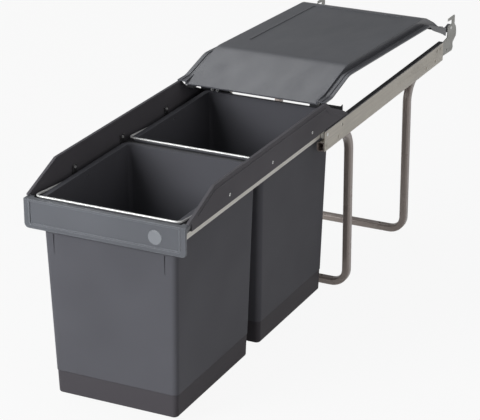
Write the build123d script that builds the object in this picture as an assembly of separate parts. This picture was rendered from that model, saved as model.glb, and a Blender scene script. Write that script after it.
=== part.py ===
from build123d import *
import math
import os

# Pull out bin frame for a base cabinet, modelled fully pulled out, in millimetres.
# X is to the right, Y to the back of the cabinet and Z up from the cabinet floor.
# The origin is on the floor, midway between the cross runs of the two legs.

# Sheet, fixed rails and legs
FRAME_WIDTH = 253.0
FRAME_HEIGHT = 305.0
SHEET = 1.5
RAIL_LENGTH = 505.0
RAIL_LEAD = 111.3
RAIL_FLANGE = 8.3
TRACK_HEIGHT = 15.5
NOTCH_LENGTH = 21.0
REAR_LEAD = 145.7
TUBE_DEPTH = 14.5
TUBE_WIDTH = 12.0
TUBE_WALL = 1.5
TUBE_CORNER = 3.5
UPPER_BEND = 42.0
LOWER_BEND = 25.0
LEG_END_GAP = 12.0
FLOOR_HOLE_SPACING = 150.0
FLOOR_HOLE_RADIUS = 2.25
SIDE_HOLE_RADIUS = 2.5
SIDE_HOLE_SETBACK = 66.5
RIVET_INSET = 9.7
RIVET_PITCH = 43.6
RIVET_END = 21.6

# Fasteners and pins
RIVET_RADIUS = 2.8
RIVET_DOME = 0.7
SHANK_RADIUS = 2.0
SHANK_FIT = 0.1
PIN_RADIUS = 2.5
PIN_FIT = 0.05
PIN_HEAD_RADIUS = 4.2
PIN_HEAD = 1.2
PIN_HEAD_GAP = 0.2
SCREW_HEAD_RADIUS = 3.6
SCREW_HEAD = 1.5
POCKET_RADIUS = 2.9
POCKET_DEPTH = 1.7
POCKET_HEAD_RADIUS = 2.4
POCKET_HEAD = 1.3

# Rollers, and how far the carriage stays in the rails when it is out and in
ROLLER_OVERLAP = 53.0
CLOSED_REACH = 21.0
RAIL_END_GAP = 1.0
FRONT_ROLLER_RADIUS = 8.0
FRONT_ROLLER_WIDTH = 5.8
FRONT_ROLLER_SETBACK = 9.0
FRONT_ROLLER_PROUD = 0.6
REAR_ROLLER_RADIUS = 7.4
REAR_ROLLER_WIDTH = 5.0
REAR_ROLLER_SETBACK = 30.0
ROLLER_SIDE_GAP = 0.6
ROLLER_EDGE = 0.8
RUN_GAP = 0.3
STOP_LENGTH = 8.0
BUFFER_LENGTH = 7.3
STOP_WIDTH = 4.5

# Moving rails and cross bars
MOVING_LEAD = 4.5
MOVING_HEIGHT = 14.8
MOVING_GAP = 0.6
TAB_LENGTH = 11.0
TAB_RISE = 14.6
SIDE_SCREW_RISE = 11.1
SIDE_SCREW_LEAD = 133.4
SIDE_SCREW_TAIL = 129.0
SIDE_SCREWS = 3
REAR_BAR_SETBACK = 11.8
MIDDLE_BAR_WIDTH = 17.5
BAR_HEIGHT = 17.7
BAR_TAB = 13.5
BAR_TAB_HEIGHT = 10.0
BAR_RIVET_DROP = 4.5
MIDDLE_BAR_HEIGHT = 13.7
SEAT_GAP = 0.3
EAR_RISE = 7.3
EAR_SIDE_GAP = 4.1
EAR_WIDTH = 28.0

# Front panel
PANEL_HEIGHT = 44.0
PANEL_RISE = 12.6
PANEL_WALL = 3.0
PANEL_CORNER = 7.0
PANEL_EDGE = 1.2
PANEL_BORDER = 10.5
PANEL_TOP_BORDER = 3.0
PANEL_LOW_BORDER = 8.6
PANEL_RECESS = 1.2
PANEL_BEAD_WIDTH = 2.4
PANEL_BEAD_PROUD = 0.8
PANEL_BEAD_CORNER = 4.0
PANEL_BEAD_EDGE = 0.5
SHELF_DEPTH = 9.5
SHELF_LAP = 1.0
SHELF_END = 11.0
END_DEPTH = 3.5
RETURN_DEPTH = 14.0
RETURN_HEIGHT = 4.5
RETURN_CURVE = 9.0
BOSS_RADIUS = 4.5
BOSS_BORE_DEPTH = 4.5
BOSS_INSET = 20.5
BOSS_SPACING = 46.0
SLOT_DEPTH = 3.0
BADGE_RADIUS = 10.5
BADGE_INSET = 46.9
BADGE_RISE = 22.6
BADGE_THICK = 1.6
BADGE_FIT = 0.15
BADGE_EDGE = 0.4

# Side panels
SIDE_SHEET = 3.3
SIDE_RISE = 31.7
SIDE_LAP = 0.6
SIDE_NOSE_LEAD = 10.5
SIDE_NOSE = 2.2
SIDE_PANEL_GAP = 0.7
SIDE_STEP_LEAD = 18.5
SIDE_OVERHANG = 5.0
SIDE_SLOPE = 75.5
SIDE_TAIL = 83.0
SIDE_CORNER = 6.0
SIDE_LIP = 0.9
SIDE_LIP_HEIGHT = 3.0
BEAD_INSET = 9.0
BEAD_WIDTH = 2.2
BEAD_PROUD = 0.7
# Where the bead starts, as a share of the front slope
BEAD_START_SHARE = 0.33
# The tail of a side panel, as shares of its length and of the panel's height
TAIL_SHARES = [(0.18, 0.28), (0.75, 0.735), (0.95, 0.93)]

# Rear panel
REAR_SHEET = 3.0
REAR_BAR_GAP = 1.8
REAR_END_GAP = 0.3
REAR_WING = 58.9
REAR_PLATE_HEIGHT = 28.8
REAR_CENTRE_DROP = 5.0
REAR_SIDE_GAP = 0.6
PEG_WIDTH = 3.4
PEG_RISE = 4.0
REAR_SCREW_HEAD_RADIUS = 2.6
REAR_SCREW_INSET = 11.0
REAR_SCREW_PITCH = 9.0

# Bins and bails
RIM_DROP = 1.6
BIN_FLOOR_CLEARANCE = 15.1
BIN_SIDE_GAP = 3.4
BIN_TAPER_X = 8.5
BIN_TAPER_Y = 9.0
BIN_CORNER = 8.0
BIN_WALL = 2.0
BIN_BASE_EDGE = 3.0
BAND_HEIGHT = 36.0
BAND_STEP = 0.8
RIM_SIDE = 5.7
RIM_END = 3.0
RIM_THICK = 2.0
RIM_LEAD = 9.9
BAR_BIN_GAP = 0.8
GRIP_HEIGHT = 29.0
GRIP_WIDTH = 3.0
GRIP_DEPTH = 0.8
GRIP_INSET = 18.5
GRIP_DROP = 51.0
PIVOT_DROP = 8.0
BOSS_OUT = 4.3
BAIL_BOSS_RADIUS = 5.0
BAIL_WIRE = 1.5
BAIL_SIDE_GAP = 0.3
BAIL_OVERHANG = 2.65
BAIL_CORNER = 9.0
BAIL_END_BEND = 2.6
FRONT_BAIL_RISE = 11.8
REAR_BAIL_RISE = 9.9
BAIL_END_GAP = 0.3

# Lid and its brackets
HINGE_SETBACK = 39.0
HINGE_RISE = 15.0
LID_OVERLAP = 4.5
LID_SLOPE = 111.5
LID_SHOULDER = 43.5
LID_TAIL = 36.2
LID_HINGE_LEAD = 16.3
LID_THICK = 2.5
LID_SIDE_INSET = 0.2
LID_BORDER = 13.3
LUG_GAP = 1.2
LID_REST_GAP = 0.3
LID_FRONT_DROP = 1.6
CREST_FRONT_RISE = 27.5
CREST_REAR_RISE = 13.0
SHOULDER_DROP = 7.5
TAIL_DROP = 29.2
LID_BENDS = [80.0, 50.0, 40.0]
LEDGE_BENDS = [40.0, 60.0, 50.0, 40.0, 14.0]
LEDGE_THICK = 2.2
LEDGE_FLAT = 26.5
LEDGE_KNEE = 92.5
LEDGE_KNEE_RISE = 17.3
LEDGE_SHOULDER_DROP = 16.7
LEDGE_TAIL_LEAD = 12.7
LEDGE_TAIL_DROP = 23.6
LEDGE_END_DROP = 34.7
RIDGE_INSET = 6.6
RIDGE_WIDTH = 2.0
RIDGE_HEIGHT = 1.0
LIP_THICK = 2.3
LIP_CLEARANCE = 1.2
LIP_END = 27.0
RIB_INSET = 27.0
RIB_LEAD = 53.0
RIB_TAIL = 18.0
RIB_WIDTH = 3.0
RIB_HEIGHT = 0.8
RIB_CORNER = 8.0
LUG_THICK = 3.5
LUG_RADIUS = 6.0
LUG_ROOT_RADIUS = 4.0
LUG_ROOT_LEAD = 22.0
LUG_ROOT_DROP = 1.5
GUIDE_WIDTH = 11.5
GUIDE_LENGTH = 11.0
GUIDE_SETBACK = 2.0
GUIDE_DROP = 9.0
LID_BUFFER_LEAD = 8.5
LID_BUFFER_INSET = 5.3
LID_BUFFER_WIDTH = 7.5
LID_BUFFER_LENGTH = 26.0
LID_BUFFER_HEIGHT = 4.5
BRACKET_TONGUE = 37.0
BRACKET_TONGUE_GAP = 1.0
BRACKET_RISE = 4.05
BRACKET_REACH = 67.5
BRACKET_DEPTH = 49.6
BRACKET_SCREW_RADIUS = 2.2
HOOK_RISE = 13.0
# The rivets of the bracket, as shares of its tongue
BRACKET_RIVET_SHARES = [0.3, 0.75]
# The screw hole and the two sides of the hook, as shares of the bracket's reach and depth
BRACKET_SCREW_SHARE = (0.33, 0.16)
HOOK_SPAN_SHARES = (0.38, 0.86)
# The bracket behind the rail, as shares of its reach and of its depth
BRACKET_SHARES = [
    (0.36, 0.60), (0.38, 0.76), (0.36, 0.92), (0.42, 1.00), (0.82, 1.00), (0.97, 0.78),
    (1.00, 0.60), (0.99, 0.45), (0.74, 0.28), (0.785, 0.10), (0.71, 0.00), (0.06, 0.04),
]
BRACKET_CORNERS = [0.0, 4.0, 4.0, 5.0, 4.0, 5.0, 4.0, 4.0, 4.0, 3.0, 3.0, 3.0]
# The hook over the bracket, as shares of its width and of its rise
HOOK_SHARES = [(0.62, 0.0), (0.62, 0.60), (0.0, 0.72), (0.03, 1.0), (0.94, 1.0), (1.0, 0.9), (1.0, 0.0)]

OVERRUN = 5.0

# Widths, from the middle outward
half = FRAME_WIDTH / 2
web_in = half - SHEET
flange_in = half - RAIL_FLANGE
leg_x = web_in - TUBE_WIDTH / 2
moving_out = flange_in - MOVING_GAP
moving_in = moving_out - SHEET
side_in = half - SIDE_SHEET
tab_out = side_in
tab_in = tab_out - SHEET
bar_tab_in = moving_in - SHEET
rim_half = bar_tab_in - BIN_SIDE_GAP
bin_half_width = rim_half - RIM_SIDE
ear_outer = moving_in - EAR_SIDE_GAP
ear_inner = ear_outer - EAR_WIDTH
outer_boss = half - BOSS_INSET
inner_boss = outer_boss - BOSS_SPACING
badge_x = half - BADGE_INSET
shelf_end_half = half - SHELF_END
rear_half = side_in - REAR_END_GAP
rear_screw_x = ear_outer - REAR_SCREW_INSET
bracket_in = web_in - SHEET
lid_half_width = half - LID_SIDE_INSET
lid_field_half = lid_half_width - LID_BORDER
ridge_x = lid_half_width - RIDGE_INSET
rib_half = lid_field_half - RIB_INSET
lug_out = bracket_in - LUG_GAP
lug_in = lug_out - LUG_THICK

# Heights
rail_top = FRAME_HEIGHT
track_top = rail_top - SHEET
track_low = track_top - TRACK_HEIGHT
ledge_low = track_low - SHEET
rail_low = ledge_low - TUBE_DEPTH
run_z = ledge_low - TUBE_DEPTH / 2
floor_run_z = TUBE_WIDTH / 2
moving_low = rail_top + FRONT_ROLLER_PROUD + RUN_GAP
moving_top = moving_low + SHEET
front_roller_z = rail_top + FRONT_ROLLER_PROUD - FRONT_ROLLER_RADIUS
rear_roller_z = track_low + TRACK_HEIGHT / 2
panel_top = rail_top + PANEL_RISE
panel_low = panel_top - PANEL_HEIGHT
side_top = panel_top + SIDE_RISE
side_low = moving_top - SIDE_LAP
rim_top = panel_top - RIM_DROP
bin_height = rim_top - BIN_FLOOR_CLEARANCE
rim_low = rim_top - RIM_THICK
seat_top = rim_low - SEAT_GAP
bar_tab_top = moving_low - SHEET
pivot_z = rim_top - PIVOT_DROP
hinge_z = rail_top + HINGE_RISE
bracket_low = rail_low + BRACKET_RISE

# Places of the fixed frame along the slide
leg_spacing = RAIL_LENGTH - RAIL_LEAD - REAR_LEAD
front_leg_y = -leg_spacing / 2
rear_leg_y = leg_spacing / 2
rail_front = front_leg_y - RAIL_LEAD
rail_rear = rail_front + RAIL_LENGTH
front_roller_y = rail_front + FRONT_ROLLER_SETBACK
hinge_y = rail_rear + HINGE_SETBACK

# Places of the carriage along the slide, pulled out by its whole travel
closed_roller_y = rail_rear - RAIL_END_GAP - BUFFER_LENGTH - RUN_GAP - REAR_ROLLER_RADIUS
rear_roller_y = rail_front + ROLLER_OVERLAP
travel = closed_roller_y - rear_roller_y
carriage_front = rail_front - CLOSED_REACH - travel
moving_front = carriage_front + MOVING_LEAD
moving_rear = rear_roller_y + REAR_ROLLER_SETBACK
front_bar_y = carriage_front + SHELF_DEPTH - SHELF_LAP
rear_bar_y = moving_rear - REAR_BAR_SETBACK
rims_front = carriage_front + RIM_LEAD
rims_rear = rear_bar_y - REAR_BAR_GAP
rim_gaps = MIDDLE_BAR_WIDTH + 2 * BAR_BIN_GAP + 2 * RIM_END
bin_half_length = (rims_rear - rims_front - rim_gaps) / 4
front_bin_y = rims_front + RIM_END + bin_half_length
rear_bin_y = rims_rear - RIM_END - bin_half_length
bar_reach = bin_half_length + BAR_BIN_GAP
bail_length = bin_half_length + BAIL_OVERHANG
side_front = carriage_front + SIDE_NOSE_LEAD
side_rear = moving_rear + SIDE_OVERHANG
side_flat_end = side_rear - SIDE_TAIL
first_side_screw = carriage_front + SIDE_SCREW_LEAD
side_screw_pitch = (moving_rear - SIDE_SCREW_TAIL - first_side_screw) / (SIDE_SCREWS - 1)
side_screw_places = [first_side_screw + side_screw_pitch * k for k in range(SIDE_SCREWS)]

# Places of the lid along the slide
lid_front = side_flat_end - LID_OVERLAP
crest_front = lid_front + LID_SLOPE
lid_rear = hinge_y - LID_HINGE_LEAD
shoulder = lid_rear - LID_TAIL
crest_rear = shoulder - LID_SHOULDER
lid_crest = crest_rear - crest_front


def block(x, y, z):
    """A box between two limits on each axis, each limit given as a pair."""
    size = Box(x[1] - x[0], y[1] - y[0], z[1] - z[0], align=(Align.MIN, Align.MIN, Align.MIN))
    return Pos(x[0], y[0], z[0]) * size


def rod(x_start, x_end, y, z, radius):
    """A cylinder along X."""
    low = min(x_start, x_end)
    along = Cylinder(radius, abs(x_end - x_start), rotation=(0, 90, 0))
    return Pos(low + abs(x_end - x_start) / 2, y, z) * along


def post(x, y, z_low, z_high, radius):
    """A cylinder along Z."""
    return Pos(x, y, (z_low + z_high) / 2) * Cylinder(radius, z_high - z_low)


def bolt(x, z, y_start, y_end, radius):
    """A cylinder along Y."""
    return Pos(x, (y_start + y_end) / 2, z) * Cylinder(radius, y_end - y_start, rotation=(90, 0, 0))


def profile_plate(outline, x_low, x_high, corners=0.0):
    """An outline of (y, z) points, given a thickness along X."""
    if corners:
        edge = FilletPolyline(*outline, radius=corners, close=True)
    else:
        edge = Polyline(*outline, close=True)
    return extrude(Plane.YZ.offset(x_low) * make_face(edge), x_high - x_low)


def front_plate(outline, y_low, y_high, corners=0.0):
    """An outline of (x, z) points, given a thickness along Y."""
    if corners:
        edge = FilletPolyline(*outline, radius=corners, close=True)
    else:
        edge = Polyline(*outline, close=True)
    face = Plane(origin=(0, y_low, 0), x_dir=(1, 0, 0), z_dir=(0, -1, 0)) * make_face(edge)
    return extrude(face, -(y_high - y_low))


def offset_line(points, distance):
    """An open line of points moved sideways, to its left where the distance is positive."""
    moved = []
    for k, (y, z) in enumerate(points):
        turns = []
        if k > 0:
            turns.append((y - points[k - 1][0], z - points[k - 1][1]))
        if k < len(points) - 1:
            turns.append((points[k + 1][0] - y, points[k + 1][1] - z))
        normals = [(-b / math.hypot(a, b), a / math.hypot(a, b)) for a, b in turns]
        n = (sum(v[0] for v in normals), sum(v[1] for v in normals))
        length = math.hypot(*n)
        n = (n[0] / length, n[1] / length)
        reach = distance / (n[0] * normals[0][0] + n[1] * normals[0][1])
        moved.append((y + n[0] * reach, z + n[1] * reach))
    return moved


def ribbon(points, distance):
    """The outline of a sheet that follows a line, with its thickness to one side."""
    return points + offset_line(points, distance)[::-1]


def far_radii(points, radii, distance):
    """The bends of an offset line that keep the thickness even around the bends of the first."""
    far = []
    for (a, b, c), radius in zip(zip(points, points[1:], points[2:]), radii):
        turn = (b[0] - a[0]) * (c[1] - b[1]) - (b[1] - a[1]) * (c[0] - b[0])
        far.append(radius - distance if turn > 0 else radius + distance)
    return far


def ribbon_plate(points, radii, distance, x_low, x_high):
    """A bent sheet that follows a line, with its bends rounded on both faces."""
    bends = [0.0] + radii + [0.0, 0.0] + far_radii(points, radii, distance)[::-1] + [0.0]
    return profile_plate(ribbon(points, distance), x_low, x_high, bends)


def left_of(shape):
    """The same shape on the left side."""
    return mirror(shape, Plane.YZ)


def both(shape):
    """A shape and its mirror image, as separate solids."""
    return Compound(shape.solids() + left_of(shape).solids())


def group(shapes):
    """Separate solids that share a node."""
    solids = []
    for shape in shapes:
        solids += shape.solids()
    return Compound(solids)


def one(shape):
    """The single solid of a shape."""
    return shape.solids()[0]


# Fixed frame

rear_run_end = rail_rear - LEG_END_GAP
front_rivets = [rail_front + RIVET_INSET, rail_front + RIVET_INSET + RIVET_PITCH]
rear_rivets = [rear_run_end - RIVET_END - RIVET_PITCH, rear_run_end - RIVET_END]
leg_rivet_places = front_rivets + rear_rivets
bracket_rivet_places = [rail_rear - BRACKET_TONGUE * share for share in BRACKET_RIVET_SHARES]


def tube_solid(path, width, depth, corner):
    """A bar of rounded section, swept from the path's open end at the left top run."""
    start = Plane(origin=path @ 0, x_dir=(1, 0, 0), z_dir=path % 0)
    return sweep(start * RectangleRounded(width, depth, corner), path=path)


def leg(leg_y, run_end):
    """A bent tube: a cross run on the floor, two uprights and two top runs under the rails."""
    corners = [(-leg_x, run_end, run_z), (-leg_x, leg_y, run_z), (-leg_x, leg_y, floor_run_z),
               (leg_x, leg_y, floor_run_z), (leg_x, leg_y, run_z), (leg_x, run_end, run_z)]
    bends = [UPPER_BEND, LOWER_BEND, LOWER_BEND, UPPER_BEND]
    path = FilletPolyline(*corners, radius=bends)
    bore_width = TUBE_WIDTH - 2 * TUBE_WALL
    bore_depth = TUBE_DEPTH - 2 * TUBE_WALL
    tube = tube_solid(path, TUBE_WIDTH, TUBE_DEPTH, TUBE_CORNER)
    tube -= tube_solid(path, bore_width, bore_depth, TUBE_CORNER - TUBE_WALL)
    for side in (-1, 1):
        x = side * FLOOR_HOLE_SPACING / 2
        tube -= post(x, leg_y, -OVERRUN, TUBE_WIDTH + OVERRUN, FLOOR_HOLE_RADIUS)
    hole = SHANK_RADIUS + SHANK_FIT
    for y in leg_rivet_places:
        for side in (-1, 1):
            tube -= rod(side * leg_x, side * half, y, run_z, hole)
    return one(tube)


def fixed_rail():
    """The right hand rail; the tube runs under its ledge."""
    length = (rail_front, rail_rear)
    rail = block((web_in, half), length, (rail_low, rail_top))
    rail += block((flange_in, half), length, (track_top, rail_top))
    rail += block((flange_in, half), length, (ledge_low, track_low))
    notch = (rail_front - OVERRUN, rail_front + NOTCH_LENGTH)
    rail -= block((flange_in - OVERRUN, web_in), notch, (track_top - SHEET, rail_top + OVERRUN))
    hole = SHANK_RADIUS + SHANK_FIT
    places = [(y, run_z, hole) for y in leg_rivet_places]
    places += [(y, rear_roller_z, hole) for y in bracket_rivet_places]
    places.append((front_roller_y, front_roller_z, hole))
    places.append((rail_front + SIDE_HOLE_SETBACK, rear_roller_z, SIDE_HOLE_RADIUS))
    for y, z, radius in places:
        rail -= rod(web_in - SHEET, half + OVERRUN, y, z, radius)
    return one(rail)


def leg_rivet(y):
    """A rivet through the rail's web and the outer wall of the leg's tube."""
    inner = web_in - TUBE_WALL
    rivet = rod(inner, half, y, run_z, SHANK_RADIUS)
    rivet += rod(half, half + RIVET_DOME, y, run_z, RIVET_RADIUS)
    rivet += rod(inner - RIVET_DOME, inner, y, run_z, RIVET_RADIUS)
    return rivet


def headed_pin(y, z, rivet_face, shoulder, head_face, side):
    """A pin along X: rivet disc, neck through the sheet, running shank and head."""
    pin = rod(rivet_face, rivet_face - side * RIVET_DOME, y, z, RIVET_RADIUS)
    pin += rod(rivet_face, shoulder, y, z, SHANK_RADIUS)
    pin += rod(shoulder, head_face, y, z, PIN_RADIUS)
    pin += rod(head_face, head_face + side * PIN_HEAD, y, z, PIN_HEAD_RADIUS)
    return pin


def roller(y, z, radius, x_low, x_high, head_side):
    """A nylon roller with a recess for the head of its pin."""
    wheel = rod(x_low, x_high, y, z, radius)
    wheel = chamfer(wheel.edges().filter_by(GeomType.CIRCLE), ROLLER_EDGE)
    wheel -= rod(x_low - OVERRUN, x_high + OVERRUN, y, z, PIN_RADIUS + PIN_FIT)
    recess = PIN_HEAD + 2 * PIN_HEAD_GAP
    recess_radius = PIN_HEAD_RADIUS + 2 * PIN_HEAD_GAP
    face = x_high if head_side > 0 else x_low
    wheel -= rod(face - head_side * recess, face + head_side * OVERRUN, y, z, recess_radius)
    return one(wheel)


front_roller_out = web_in - ROLLER_SIDE_GAP
front_roller_in = front_roller_out - FRONT_ROLLER_WIDTH
rear_roller_in = moving_out + ROLLER_SIDE_GAP - PIN_HEAD_GAP
rear_roller_out = rear_roller_in + REAR_ROLLER_WIDTH


def front_roller_pin():
    """The pin of the right front roller, riveted in the fixed rail."""
    head_face = front_roller_in + PIN_HEAD_GAP + PIN_HEAD
    return headed_pin(front_roller_y, front_roller_z, half, web_in, head_face, -1)


def rear_roller_pin():
    """The pin of the right rear roller, riveted in the moving rail."""
    head_face = rear_roller_out - PIN_HEAD_GAP - PIN_HEAD
    return headed_pin(rear_roller_y, rear_roller_z, moving_in, moving_out, head_face, 1)


def front_stop():
    """A block that keeps the rear roller in the track when the carriage is pulled out."""
    end = rear_roller_y - REAR_ROLLER_RADIUS - RUN_GAP
    return block((web_in - STOP_WIDTH, web_in), (end - STOP_LENGTH, end), (track_low, track_top))


def rear_buffer():
    """A rubber block that the rear roller meets when the carriage is in."""
    start = closed_roller_y + REAR_ROLLER_RADIUS + RUN_GAP
    length = (start, start + BUFFER_LENGTH)
    return block((bracket_in - STOP_WIDTH, bracket_in), length, (track_low, track_top))


# Lid brackets

def bracket_point(y_share, z_share):
    """A place on the bracket behind the rail, from shares of its reach and depth."""
    return (rail_rear + BRACKET_REACH * y_share, bracket_low + BRACKET_DEPTH * z_share)


def lid_bracket():
    """Sheet bracket in the track's web, with the lid's hinge hole and an open hook above it."""
    tongue_low = track_low + BRACKET_TONGUE_GAP
    tongue_high = track_top - BRACKET_TONGUE_GAP
    outline = [(rail_rear - BRACKET_TONGUE, tongue_low), (rail_rear - BRACKET_TONGUE, tongue_high),
               (rail_rear + SHEET, tongue_high)]
    outline += [bracket_point(*share) for share in BRACKET_SHARES]
    outline += [(rail_rear + SHEET, tongue_low)]
    corners = [SHEET, SHEET, 0.0] + BRACKET_CORNERS + [0.0]
    plate = profile_plate(outline, bracket_in, web_in, corners)
    hook_left, hook_right = [bracket_point(share, 0)[0] for share in HOOK_SPAN_SHARES]
    hook_width = hook_right - hook_left
    top = bracket_low + BRACKET_DEPTH
    hook = [(hook_left + hook_width * y, top - SHEET + (HOOK_RISE + SHEET) * z) for y, z in HOOK_SHARES]
    plate += profile_plate(hook, bracket_in, web_in)
    screw = bracket_point(*BRACKET_SCREW_SHARE)
    places = [(hinge_y, hinge_z, SHANK_RADIUS + SHANK_FIT), (screw[0], screw[1], BRACKET_SCREW_RADIUS)]
    places += [(y, rear_roller_z, SHANK_RADIUS + SHANK_FIT) for y in bracket_rivet_places]
    for y, z, radius in places:
        plate -= rod(bracket_in - OVERRUN, half, y, z, radius)
    return one(plate)


def bracket_rivet(y):
    """A rivet through the rail's web and the bracket's tongue."""
    rivet = rod(bracket_in, half, y, rear_roller_z, SHANK_RADIUS)
    rivet += rod(half, half + RIVET_DOME, y, rear_roller_z, RIVET_RADIUS)
    return rivet


def lid_hinge_pin():
    """The right hinge pin of the lid, riveted in its bracket."""
    head_face = lug_in - PIN_HEAD_GAP
    return headed_pin(hinge_y, hinge_z, web_in, bracket_in, head_face, -1)


# Carriage

side_screw_z = moving_top + SIDE_SCREW_RISE
bar_rivet_z = bar_tab_top - BAR_RIVET_DROP
front_bar_rear = front_bin_y - bar_reach
middle_bar = (front_bin_y + bar_reach, rear_bin_y - bar_reach)
rear_bar_front = rear_bin_y + bar_reach
bar_rivet_places = [
    front_bar_y + SHEET + BAR_TAB / 2, (middle_bar[0] * 2 + middle_bar[1]) / 3,
    (middle_bar[0] + middle_bar[1] * 2) / 3, rear_bar_y - BAR_TAB / 2,
]


def moving_rail():
    """The right hand moving rail: web inside the track, flange over the front roller, three tabs."""
    length = (moving_front, moving_rear)
    rail = block((moving_in, moving_out), length, (moving_top - MOVING_HEIGHT, moving_top))
    rail += block((moving_in, side_in), length, (moving_low, moving_top))
    for y in side_screw_places:
        tab = (y - TAB_LENGTH / 2, y + TAB_LENGTH / 2)
        rail += block((tab_in, tab_out), tab, (moving_low, moving_top + TAB_RISE))
        rail -= rod(tab_in - OVERRUN, half, y, side_screw_z, SHANK_RADIUS + SHANK_FIT)
    places = [(y, bar_rivet_z) for y in bar_rivet_places] + [(rear_roller_y, rear_roller_z)]
    for y, z in places:
        rail -= rod(bar_tab_in, moving_out + OVERRUN, y, z, SHANK_RADIUS + SHANK_FIT)
    return one(rail)


def drill_bar_ends(bar, places):
    """The rivet holes in the end tabs of a cross bar."""
    hole = SHANK_RADIUS + SHANK_FIT
    for y in places:
        for side in (-1, 1):
            bar -= rod(side * (bar_tab_in - SHEET), side * moving_out, y, bar_rivet_z, hole)
    return one(bar)


def bar_tabs(y_low, y_high):
    """The end tabs of a cross bar, inside the webs of the moving rails."""
    tab = block((bar_tab_in, moving_in), (y_low, y_high), (bar_tab_top - BAR_TAB_HEIGHT, bar_tab_top))
    return tab + left_of(tab)


def front_cross_bar():
    """The bar behind the front panel, with a flange under the front bin's rim."""
    plate = (front_bar_y, front_bar_y + SHEET)
    bar = block((-moving_in, moving_in), plate, (seat_top - BAR_HEIGHT, bar_tab_top))
    bar += block((-ear_outer, ear_outer), plate, (bar_tab_top, seat_top))
    bar += block((-ear_outer, ear_outer), (front_bar_y, front_bar_rear), (seat_top - SHEET, seat_top))
    bar += bar_tabs(front_bar_y, front_bar_y + SHEET + BAR_TAB)
    for x in panel_screw_places:
        bar -= bolt(x, panel_screw_z, front_bar_y - OVERRUN, front_bar_rear, SHANK_RADIUS + SHANK_FIT)
    return drill_bar_ends(bar, bar_rivet_places[:1])


def middle_cross_bar():
    """The channel between the bins, open below, that carries a rim of each."""
    low = seat_top - MIDDLE_BAR_HEIGHT
    front, rear = middle_bar
    bar = block((-ear_outer, ear_outer), (front, rear), (low, seat_top))
    bar -= block((-half, half), (front + SHEET, rear - SHEET), (low - OVERRUN, seat_top - SHEET))
    bar += block((-moving_in, moving_in), (front, front + SHEET), (low, bar_tab_top))
    bar += block((-moving_in, moving_in), (rear - SHEET, rear), (low, bar_tab_top))
    bar += bar_tabs(front, rear)
    return drill_bar_ends(bar, bar_rivet_places[1:3])


def rear_cross_bar():
    """The bar behind the rear bin, with a flange under its rim and an ear at each end."""
    plate = (rear_bar_y, rear_bar_y + SHEET)
    flange = (rear_bar_front, rear_bar_y + SHEET)
    bar = block((-moving_in, moving_in), plate, (bar_tab_top - BAR_TAB_HEIGHT, bar_tab_top))
    bar += block((-ear_outer, ear_outer), plate, (bar_tab_top - BAR_TAB_HEIGHT, seat_top))
    bar += block((-ear_inner, ear_inner), flange, (seat_top - SHEET, seat_top))
    for side in (-1, 1):
        ear = sorted((side * ear_inner, side * ear_outer))
        bar += block(ear, plate, (seat_top, seat_top + EAR_RISE))
    bar += bar_tabs(rear_bar_y - BAR_TAB, rear_bar_y + SHEET)
    hole = SHANK_RADIUS + SHANK_FIT
    for x in rear_screw_places:
        bar -= bolt(x, rear_screw_z, rear_bar_y - OVERRUN, rear_bar_y + OVERRUN, hole)
    return drill_bar_ends(bar, bar_rivet_places[3:])


def bar_rivet(y):
    """A rivet through the moving rail's web and a cross bar's tab."""
    rivet = rod(bar_tab_in, moving_out, y, bar_rivet_z, SHANK_RADIUS)
    rivet += rod(bar_tab_in - RIVET_DOME, bar_tab_in, y, bar_rivet_z, RIVET_RADIUS)
    return rivet


# Front panel

panel_screw_places = [-outer_boss, -inner_boss, inner_boss, outer_boss]
panel_screw_z = bar_tab_top - BAR_RIVET_DROP
panel_face_y = carriage_front + PANEL_RECESS
badge_z = panel_low + BADGE_RISE


def rectangle_points(half_x, z_low, z_high):
    """The corners of an upright rectangle about the middle, from its low left corner."""
    return [(-half_x, z_low), (half_x, z_low), (half_x, z_high), (-half_x, z_high)]


def panel_shell(border_y, back):
    """The front panel as a pan, open at the back, with a chamfered edge."""
    radii = [PANEL_CORNER, PANEL_CORNER, PANEL_EDGE, PANEL_EDGE]
    pan = front_plate(rectangle_points(half, panel_low, panel_top), border_y, back, radii)
    pan = chamfer(pan.edges().group_by(Axis.Y)[0], PANEL_EDGE)
    hollow = rectangle_points(half - PANEL_WALL, panel_low + PANEL_WALL, panel_top - PANEL_WALL)
    inner_corner = PANEL_CORNER - PANEL_WALL
    hollow_radii = [inner_corner, inner_corner, PANEL_EDGE / 2, PANEL_EDGE / 2]
    return pan - front_plate(hollow, border_y + PANEL_WALL, back + OVERRUN, hollow_radii)


def panel_end_cut():
    """What the right end of the front panel leaves open under its curved return."""
    face = carriage_front + END_DEPTH
    reach = carriage_front + RETURN_DEPTH + OVERRUN
    line = [(face, panel_low - OVERRUN), (reach, panel_low - OVERRUN),
            (reach, panel_top - RETURN_HEIGHT), (face, panel_top - RETURN_HEIGHT)]
    return profile_plate(line, shelf_end_half, half + OVERRUN, [0.0, 0.0, 0.0, RETURN_CURVE])


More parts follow.
